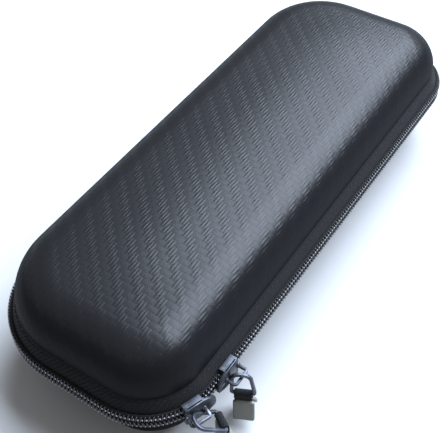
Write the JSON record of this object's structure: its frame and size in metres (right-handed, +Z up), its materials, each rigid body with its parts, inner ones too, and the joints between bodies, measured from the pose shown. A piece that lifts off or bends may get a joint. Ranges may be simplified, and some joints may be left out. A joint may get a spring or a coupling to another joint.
{
  "type": "interchangeable needle set in a zipped hard case",
  "caption": "Moulded zip case with a fabric spine, a turning board and a lid pocket, holding screw-on knitting needle tips, cables and their small tools.",
  "frame": {"origin": "middle of the base's flat underside", "axes": "+X along the case towards the end away from the two zip sliders, +Y towards the fabric spine, +Z up out of the lid"},
  "size_m": [0.22, 0.0983, 0.048],
  "materials": {
    "coated_skin": "satin coating with an embossed twill",
    "foam": "moulded closed-cell foam",
    "lining": "knitted",
    "tape": "woven",
    "coil": "satin nylon",
    "binding": "woven binding",
    "slider_metal": "gun-metal plating, satin",
    "ring_metal": "light plating, satin",
    "webbing": "woven",
    "tail_rubber": "soft, matt",
    "elastic": "knitted elastic",
    "board": "covered board",
    "mesh": "open mesh",
    "cable_clear": "flexible",
    "cable_olive": "flexible",
    "gauge": "satin",
    "stopper": "smooth",
    "bright": "polished",
    "marker": "smooth",
    "tip_2_75": "anodised, satin",
    "tip_3_00": "anodised, satin",
    "tip_3_25": "anodised, satin",
    "tip_3_50": "anodised, satin",
    "tip_3_75": "anodised, satin",
    "tip_4_00": "anodised, satin",
    "tip_4_50": "anodised, satin",
    "tip_5_00": "anodised, satin",
    "tip_5_50": "anodised, satin",
    "tip_6_00": "anodised, satin",
    "tip_6_50": "anodised, satin",
    "tip_8_00": "anodised, satin",
    "tip_10_00": "anodised, satin"
  },
  "bodies": {
    "base": {"base_skin": "coated_skin", "base_shell": "foam", "base_lining": "lining", "base_zip_tape": "tape", "base_coil": "coil", "base_binding": "binding", "spine_band": "tape", "spine_lining": "lining", "zip_end_tabs": "tape", "needle_board": "board", "board_elastics": "elastic", "page_strip": "binding", "tips_6_50": "tip_6_50", "tips_8_00": "tip_8_00", "tips_10_00": "tip_10_00"},
    "lid": {"lid_skin": "coated_skin", "lid_shell": "foam", "lid_lining": "lining", "lid_zip_tape": "tape", "lid_coil": "coil", "lid_binding": "binding", "mesh_pocket": "mesh", "pocket_elastic": "elastic", "cable_short": "cable_clear", "cable_medium": "cable_clear", "cable_long": "cable_olive", "cable_ferrules": "bright", "needle_gauge": "gauge", "end_stoppers": "stopper", "cable_connectors": "bright", "tightening_keys": "bright", "stitch_markers": "marker", "darning_needles": "bright"},
    "page": {"page_board": "board", "page_elastics_top": "elastic", "page_elastics_under": "elastic", "tips_2_75": "tip_2_75", "tips_3_00": "tip_3_00", "tips_3_25": "tip_3_25", "tips_3_50": "tip_3_50", "tips_3_75": "tip_3_75", "tips_4_00": "tip_4_00", "tips_4_50": "tip_4_50", "tips_5_00": "tip_5_00", "tips_5_50": "tip_5_50", "tips_6_00": "tip_6_00"},
    "slider_a": {"slider_a": "slider_metal"},
    "ring_a": {"ring_a": "ring_metal"},
    "strap_a": {"strap_a": "webbing", "tails_a": "tail_rubber"},
    "slider_b": {"slider_b": "slider_metal"},
    "ring_b": {"ring_b": "ring_metal"},
    "strap_b": {"strap_b": "webbing", "tails_b": "tail_rubber"}
  },
  "joints": [
    {"name": "lid_hinge", "type": "hinge", "parent": "base", "child": "lid", "pos_m": [0, 0.0433, 0.024], "axis": [-1, 0, 0], "range_deg": [0, 180], "deforming": ["spine_band", "spine_lining"]},
    {"name": "page_turn", "type": "hinge", "parent": "base", "child": "page", "pos_m": [0, 0.0331, 0.0233], "axis": [-1, 0, 0], "range_deg": [0, 90], "deforming": ["page_strip"]},
    {"name": "slider_a_travel", "type": "slide", "parent": "base", "child": "slider_a", "axis": [1, 0, 0], "range_m": [0, 0.15]},
    {"name": "ring_a_swing", "type": "hinge", "parent": "slider_a", "child": "ring_a", "pos_m": [-0.0754, -0.048, 0.024], "axis": [-1, 0, 0], "range_deg": [0, 170]},
    {"name": "strap_a_swing", "type": "hinge", "parent": "ring_a", "child": "strap_a", "pos_m": [-0.0754, -0.04863, 0.01492], "axis": [-0.4067, 0.9113, -0.0637], "range_deg": [-30, 30]},
    {"name": "slider_b_travel", "type": "hinge", "parent": "base", "child": "slider_b", "pos_m": [-0.085, -0.018, 0.024], "axis": [0, 0, -1], "range_deg": [0, 60]},
    {"name": "ring_b_swing", "type": "hinge", "parent": "slider_b", "child": "ring_b", "pos_m": [-0.09526, -0.04619, 0.024], "axis": [-0.9397, 0.342, 0], "range_deg": [-2, 36]},
    {"name": "strap_b_swing", "type": "hinge", "parent": "ring_b", "child": "strap_b", "pos_m": [-0.08986, -0.04983, 0.01944], "axis": [0.5156, 0.8538, -0.0714], "range_deg": [-30, 30]}
  ],
  "couplings": [
    {"joint": "page_turn", "follows": "lid_hinge", "ratio": 0.5}
  ]
}
